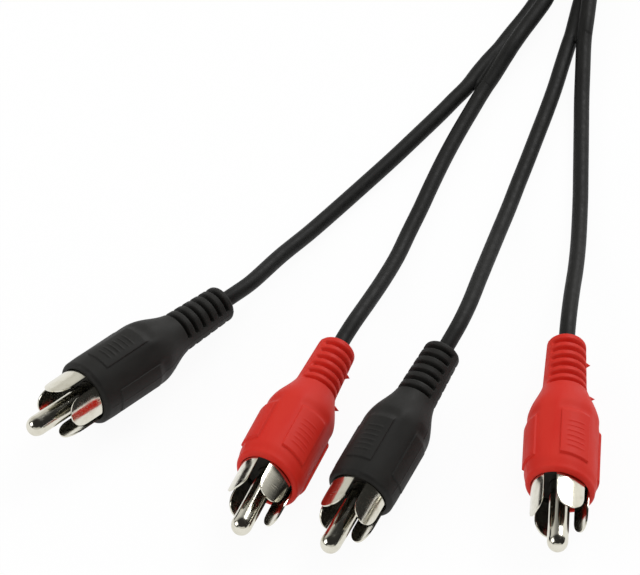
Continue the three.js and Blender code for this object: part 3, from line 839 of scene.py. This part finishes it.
def mouldedGrainGroup(m):  # satin moulded plastic: fine grain, faint flow marks, rubbed edges
    tree, g = startGroup("moulded_grain", [
        ("Colour", "colour", (0.5, 0.5, 0.5, 1)), ("Worn Colour", "colour", (0.7, 0.7, 0.7, 1)),
        ("Grain Scale", "float", 9000.0), ("Grain Depth", "float", 0.2),
        ("Low Roughness", "float", 0.4), ("High Roughness", "float", 0.6), ("Wear", "float", 0.3),
    ])
    place = addNode(tree, "TexCoord").outputs["Object"]
    grain = noiseNode(tree, place, g["Grain Scale"], *m["grain"])
    pits = noiseNode(tree, place, *m["pits"])
    stretched = addNode(tree, "Mapping", Vector=place, Scale=m["flowStretch"]).outputs[0]
    flow = noiseNode(tree, stretched, *m["flow"])
    edges = remap(tree, addNode(tree, "NewGeometry").outputs["Pointiness"], *m["edges"])
    worn = maths(tree, "MULTIPLY", maths(tree, "MULTIPLY", edges, g["Wear"]), remap(tree, pits, *m["rubbed"]))
    shade = mixColour(tree, remap(tree, flow, *m["tint"]), g["Colour"], g["Worn Colour"])
    colour = mixColour(tree, worn, shade, g["Worn Colour"])
    level = remap(tree, flow, *m["gloss"], g["Low Roughness"], g["High Roughness"])
    spread = maths(tree, "MULTIPLY", maths(tree, "SUBTRACT", grain, 0.5), m["grainGloss"])
    height = maths(tree, "ADD", grain, maths(tree, "MULTIPLY", pits, m["pitDepth"]))
    return endGroup(tree, colour, maths(tree, "ADD", level, spread), height, g["Grain Depth"], m["bump"])


platedLook = {
    "markStretch": (1.0, 0.06, 0.06),
    "marks": (7000.0, 3.0, 0.6),
    "scratchTurn": (0.3, 0.5, 0.9),
    "scratchStretch": (1.0, 0.04, 1.0),
    "scratches": (3800.0, 2.0, 0.5),
    "scratchRange": (0.66, 0.72, 0.0, 1.0),
    "cloud": (650.0, 4.0, 0.6),
    "stained": (0.42, 0.72, 0.0, 1.0),
    "gloss": (0.3, 0.75),
    "scratchGloss": 0.1,
    "depths": (0.6, 0.5),  # of the marks and of the scratches
    "bump": 0.00002,  # metres
}


def platedMetalGroup(m):  # bright plate: turning marks, faint stains, small scratches
    tree, g = startGroup("plated_metal", [
        ("Colour", "colour", (0.7, 0.7, 0.7, 1)), ("Stain Colour", "colour", (0.5, 0.45, 0.35, 1)),
        ("Low Roughness", "float", 0.1), ("High Roughness", "float", 0.25),
        ("Mark Depth", "float", 0.1), ("Stain", "float", 0.3),
    ])
    place = addNode(tree, "TexCoord").outputs["Object"]
    around = addNode(tree, "Mapping", Vector=place, Scale=m["markStretch"]).outputs[0]
    marks = noiseNode(tree, around, *m["marks"])
    slanted = addNode(tree, "Mapping", Vector=place, Rotation=m["scratchTurn"], Scale=m["scratchStretch"])
    scratch = remap(tree, noiseNode(tree, slanted.outputs[0], *m["scratches"]), *m["scratchRange"])
    cloud = noiseNode(tree, place, *m["cloud"])
    stain = maths(tree, "MULTIPLY", remap(tree, cloud, *m["stained"]), g["Stain"])
    colour = mixColour(tree, stain, g["Colour"], g["Stain Colour"])
    level = remap(tree, cloud, *m["gloss"], g["Low Roughness"], g["High Roughness"])
    rough = maths(tree, "ADD", level, maths(tree, "MULTIPLY", scratch, m["scratchGloss"]))
    raised, sunk = (maths(tree, "MULTIPLY", v, depth) for v, depth in zip((marks, scratch), m["depths"]))
    return endGroup(tree, colour, rough, maths(tree, "SUBTRACT", raised, sunk), g["Mark Depth"], m["bump"])


drawnLook = {
    "streaks": (3.0, 0.6),
    "mottle": (900.0, 3.0, 0.6),
    "fine": (11000.0, 2.0, 0.5),
    "shares": (0.6, 0.4),  # of the streaks and of the mottling
    "tint": (0.35, 0.68, 0.0, 0.5),
    "gloss": (0.3, 0.7),
    "fineDepth": 0.5,
    "bump": 0.00003,  # metres
}


def drawnPlasticGroup(m):  # extruded jacket: streaks along its length, slight mottling
    tree, g = startGroup("drawn_plastic", [
        ("Along", "vector", None), ("Colour", "colour", (0.1, 0.1, 0.1, 1)),
        ("Light Colour", "colour", (0.2, 0.2, 0.2, 1)), ("Streaks", "float", 40.0),
        ("Low Roughness", "float", 0.3), ("High Roughness", "float", 0.5), ("Streak Depth", "float", 0.15),
    ])
    place = addNode(tree, "TexCoord").outputs["Object"]
    streak = noiseNode(tree, g["Along"], g["Streaks"], *m["streaks"])
    mottle = noiseNode(tree, place, *m["mottle"])
    fine = noiseNode(tree, place, *m["fine"])
    both = [maths(tree, "MULTIPLY", v, share) for v, share in zip((streak, mottle), m["shares"])]
    tint = remap(tree, maths(tree, "ADD", *both), *m["tint"])
    colour = mixColour(tree, tint, g["Colour"], g["Light Colour"])
    rough = remap(tree, mottle, *m["gloss"], g["Low Roughness"], g["High Roughness"])
    height = maths(tree, "ADD", streak, maths(tree, "MULTIPLY", fine, m["fineDepth"]))
    return endGroup(tree, colour, rough, height, g["Streak Depth"], m["bump"])


mouldedGrain = mouldedGrainGroup(mouldedLook)
platedMetal = platedMetalGroup(platedLook)
drawnPlastic = drawnPlasticGroup(drawnLook)


def linear(r, g, b):  # a screen colour from 0 to 255 as a linear one
    def one(c):
        c /= 255
        return c / 12.92 if c <= 0.04045 else ((c + 0.055) / 1.055) ** 2.4
    return (one(r), one(g), one(b), 1.0)


def finish(name, group, groupValues, shaderValues):
    material = bpy.data.materials.new(name)
    material.use_nodes = True
    tree = material.node_tree
    shader = tree.nodes["Principled BSDF"]
    for key, value in shaderValues.items():
        shader.inputs[key].default_value = value
    effect = tree.nodes.new("ShaderNodeGroup")
    effect.node_tree = group
    for key, value in groupValues.items():
        effect.inputs[key].default_value = value
    for key in groupOutputs:
        tree.links.new(effect.outputs[key], shader.inputs["Base Color" if key == "Colour" else key])
    material.diffuse_color = groupValues["Colour"]
    return material


blackPvc = {
    "Colour": linear(28, 27, 25), "Worn Colour": linear(48, 48, 45), "Grain Scale": 8500.0,
    "Grain Depth": 0.35, "Low Roughness": 0.54, "High Roughness": 0.68, "Wear": 0.4,
}
redPvc = {
    "Colour": linear(203, 32, 17), "Worn Colour": linear(210, 61, 44), "Grain Scale": 8500.0,
    "Grain Depth": 0.3, "Low Roughness": 0.5, "High Roughness": 0.64, "Wear": 0.3,
}
bushNylon = {
    "Colour": linear(24, 24, 24), "Worn Colour": linear(44, 44, 42), "Grain Scale": 7000.0,
    "Grain Depth": 0.2, "Low Roughness": 0.4, "High Roughness": 0.55, "Wear": 0.2,
}
innerMould = {
    "Colour": linear(226, 224, 214), "Worn Colour": linear(240, 239, 232), "Grain Scale": 6000.0,
    "Grain Depth": 0.25, "Low Roughness": 0.4, "High Roughness": 0.55, "Wear": 0.2,
}
tiePlastic = {
    "Colour": linear(26, 26, 27), "Worn Colour": linear(58, 58, 58), "Grain Scale": 5000.0,
    "Grain Depth": 0.3, "Low Roughness": 0.34, "High Roughness": 0.52, "Wear": 0.5,
}
nickel = {
    "Colour": linear(222, 219, 206), "Stain Colour": linear(196, 190, 170),
    "Low Roughness": 0.1, "High Roughness": 0.2, "Mark Depth": 0.25, "Stain": 0.35,
}
bareCopper = {
    "Colour": linear(222, 150, 112), "Stain Colour": linear(160, 92, 62),
    "Low Roughness": 0.25, "High Roughness": 0.42, "Mark Depth": 0.3, "Stain": 0.6,
}
cordJacket = {
    "Colour": linear(19, 19, 18), "Light Colour": linear(33, 33, 31), "Streaks": 34.0,
    "Low Roughness": 0.48, "High Roughness": 0.6, "Streak Depth": 0.3,
}
coreJacket = {
    "Colour": linear(226, 222, 208), "Light Colour": linear(238, 236, 228), "Streaks": 900.0,
    "Low Roughness": 0.3, "High Roughness": 0.42, "Streak Depth": 0.2,
}

soft = {"Specular IOR Level": 0.22}
clean = {"Specular IOR Level": 0.4}
metal = {"Metallic": 1.0}
finishes = {
    "black_pvc": finish("black_pvc_moulded", mouldedGrain, blackPvc, soft),
    "red_pvc": finish("red_pvc_moulded", mouldedGrain, redPvc, soft),
    "black_bush": finish("black_nylon_bush", mouldedGrain, bushNylon, soft),
    "natural_polyethylene": finish("natural_inner_mould", mouldedGrain, innerMould, clean),
    "tie": finish("twist_tie_plastic", mouldedGrain, tiePlastic, {"Specular IOR Level": 0.45}),
    "nickel_plate": finish("nickel_plate", platedMetal, nickel, metal),
    "copper": finish("bare_copper", platedMetal, bareCopper, metal),
    "black_cord": finish("black_cord_jacket", drawnPlastic, cordJacket, {"Specular IOR Level": 0.2}),
    "clear_core": finish("core_jacket", drawnPlastic, coreJacket, clean),
}


def streaksAlong(material, source, stretch):  # which coordinate the streaks follow
    tree = material.node_tree
    effect = next(n for n in tree.nodes if n.type == "GROUP")
    place = addNode(tree, "TexCoord").outputs[source]
    mapping = addNode(tree, "Mapping", Vector=place, Scale=stretch)
    tree.links.new(mapping.outputs[0], effect.inputs["Along"])


streaksAlong(finishes["black_cord"], "UV", (0.012, 1.0, 1.0))
streaksAlong(finishes["clear_core"], "Object", (1.0, 1.0, 1.0))

for obj, slotName in plugPieces.values():
    obj.data.materials.append(finishes[slotName])
for obj in cordPieces.values():
    obj.data.materials.append(finishes["black_cord"])
twistTie.data.materials.append(finishes["tie"])
for part in frame["record"]["subparts"]:
    node = nodes[part["node"]]
    node.data.materials.clear()
    node.data.materials.append(finishes[part["material_slot"]])
print("materials made")


# Table, studio and light

studio = {
    "tableSize": 6.0,  # metres
    "tableColour": (0.94, 0.94, 0.94, 1),
    "shadowShare": 0.06,  # how much of the table's own shading shows behind the object
    "canopyRadius": 1.6,
    "canopyLow": 8.0,  # degrees above the horizon
    "canopyGrid": (48, 20),  # round, and up
    "canopyLevel": 0.03,
    "sweepLevel": (0.7, 1.0),  # at the left and at the right
    "sweepSides": (-0.5, 0.7),  # where those are, in shares of the radius
    "sweepEdge": (0.28, 0.5),  # shares of the radius, from front to back
    "sweepTop": (0.44, 0.95),  # and from low to high
    "frontLevel": 0.7,  # a low screen on the camera's side
    "frontEdge": (-0.62, -0.8),
    "frontTop": (0.44, 0.56),
    "screenColour": (1, 0.99, 0.95, 1),
    "skyStrength": 0.62,
    "lamps": [
        # name, place in metres, aim, size, watts
        ("key", (0.46, 0.715, 0.68), (0.0, 0.03, 0.0), (0.52, 0.42), 4.9),
        ("side", (-0.75, -0.1, 0.5), (0.0, 0.03, 0.0), (0.55, 0.5), 2.2),
    ],
}


def throughCamera(tree):  # 1 for rays that see the background itself, in the camera or in metal
    rays = tree.nodes.new("ShaderNodeLightPath").outputs
    seen = maths(tree, "MAXIMUM", rays["Is Camera Ray"], rays["Is Glossy Ray"])
    return maths(tree, "MAXIMUM", seen, rays["Is Transmission Ray"])


def studioPiece(name, points, faces, materialName):  # its material holds only an output
    mesh = bpy.data.meshes.new(name)
    mesh.from_pydata(points, [], faces)
    obj = bpy.data.objects.new(name, mesh)
    scene.collection.objects.link(obj)
    material = bpy.data.materials.new(materialName)
    material.use_nodes = True
    tree = material.node_tree
    tree.nodes.remove(tree.nodes["Principled BSDF"])
    mesh.materials.append(material)
    return obj, tree


def makeTable(s):
    half = s["tableSize"] / 2
    corners = [(-half, -half, 0), (half, -half, 0), (half, half, 0), (-half, half, 0)]
    table, tree = studioPiece("table", corners, [(0, 1, 2, 3)], "white_table")
    matt = addNode(tree, "BsdfDiffuse", Color=s["tableColour"])
    glow = addNode(tree, "Emission", Color=(1, 1, 1, 1), Strength=1.0)
    share = maths(tree, "MULTIPLY", throughCamera(tree), 1 - s["shadowShare"])
    mix = addNode(tree, "MixShader", Fac=share, i1=matt.outputs[0], i2=glow.outputs[0])
    tree.links.new(mix.outputs[0], tree.nodes["Material Output"].inputs["Surface"])


def makeWorld(s):
    world = bpy.data.worlds.new("studio")
    scene.world = world
    world.use_nodes = True
    tree = world.node_tree
    sky = tree.nodes["Background"]
    sky.inputs["Color"].default_value = (1, 1, 1, 1)
    strength = addNode(tree, "MapRange", Value=throughCamera(tree))
    strength.inputs["To Min"].default_value = s["skyStrength"]
    strength.inputs["To Max"].default_value = 1.0
    tree.links.new(strength.outputs["Result"], sky.inputs["Strength"])


def makeCanopy(s):  # studio above the table: pale behind it, darker higher up and towards the front
    columns, rows = s["canopyGrid"]
    azimuth, elevation = np.meshgrid(np.arange(columns) * 2 * math.pi / columns,
                                     np.radians(np.linspace(s["canopyLow"], 90, rows)))
    dome = np.stack([np.cos(elevation) * np.cos(azimuth), np.cos(elevation) * np.sin(azimuth),
                     np.sin(elevation)], -1) * s["canopyRadius"]
    canopy, tree = studioPiece("studio_canopy", dome.reshape(-1, 3).tolist(),
                               gridFaces(rows, columns), "studio_canopy")
    canopy.visible_camera = False
    canopy.visible_diffuse = False
    canopy.visible_shadow = False
    place = addNode(tree, "TexCoord").outputs["Object"]
    axes = addNode(tree, "SeparateXYZ", Vector=place).outputs
    radius = s["canopyRadius"]

    def across(axis, name, low, high):
        start, end = (share * radius for share in s[name])
        return remap(tree, axes[axis], start, end, low, high)

    behind = across("Y", "sweepEdge", 0.0, 1.0)
    side = across("X", "sweepSides", *s["sweepLevel"])
    sweep = across("Z", "sweepTop", side, 0.0)
    front = across("Y", "frontEdge", 0.0, 1.0)
    screen = across("Z", "frontTop", s["frontLevel"], 0.0)
    level = maths(tree, "MAXIMUM", maths(tree, "MULTIPLY", behind, sweep), s["canopyLevel"])
    level = maths(tree, "MAXIMUM", maths(tree, "MULTIPLY", front, screen), level)
    glow = addNode(tree, "Emission", Color=s["screenColour"], Strength=level)
    tree.links.new(glow.outputs[0], tree.nodes["Material Output"].inputs["Surface"])


def makeLamps(s):
    for name, place, aim, size, watts in s["lamps"]:
        data = bpy.data.lights.new(name, "AREA")
        data.shape = "RECTANGLE"
        data.size, data.size_y = size
        data.energy = watts
        lamp = bpy.data.objects.new(name, data)
        lamp.location = place
        lamp.rotation_euler = (Vector(aim) - Vector(place)).to_track_quat("-Z", "Y").to_euler()
        scene.collection.objects.link(lamp)


makeTable(studio)
makeWorld(studio)
makeCanopy(studio)
makeLamps(studio)
scene.view_settings.view_transform = "Standard"
print("studio made")
